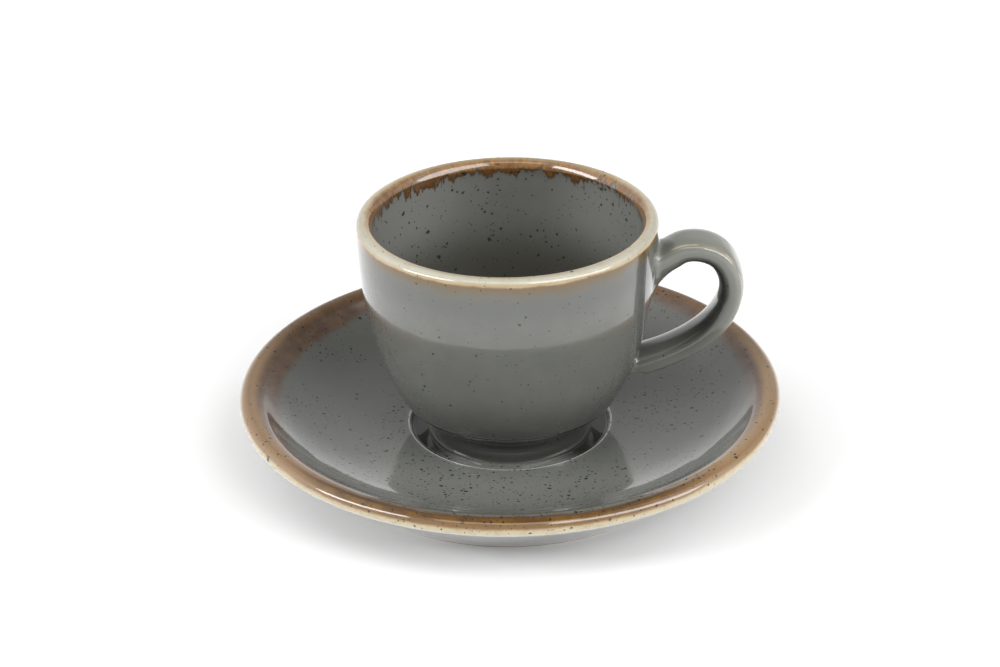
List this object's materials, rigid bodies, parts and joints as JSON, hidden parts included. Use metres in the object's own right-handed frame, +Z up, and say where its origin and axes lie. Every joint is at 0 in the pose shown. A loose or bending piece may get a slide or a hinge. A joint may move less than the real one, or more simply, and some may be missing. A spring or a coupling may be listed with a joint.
{
  "type": "espresso cup with saucer",
  "caption": "Small round-bottomed coffee cup with a strap handle and thick rolled lip, standing in the shallow well of a dished saucer with a foot ring.",
  "frame": {"origin": "centre of the saucer's foot ring, on the table that it stands on", "axes": "+Z up along the common axis of saucer and cup; +X towards the cup's handle"},
  "size_m": [0.12, 0.12, 0.0589],
  "materials": {
    "saucer_glaze": "gloss",
    "cup_glaze": "gloss",
    "handle_glaze": "gloss"
  },
  "bodies": {
    "saucer": {"saucer": "saucer_glaze"},
    "cup": {"cup_body": "cup_glaze", "cup_handle": "handle_glaze"}
  },
  "joints": [
    {"name": "cup_lift", "type": "slide", "parent": "saucer", "child": "cup", "axis": [0, 0, 1], "range_m": [0, 0.08]}
  ]
}
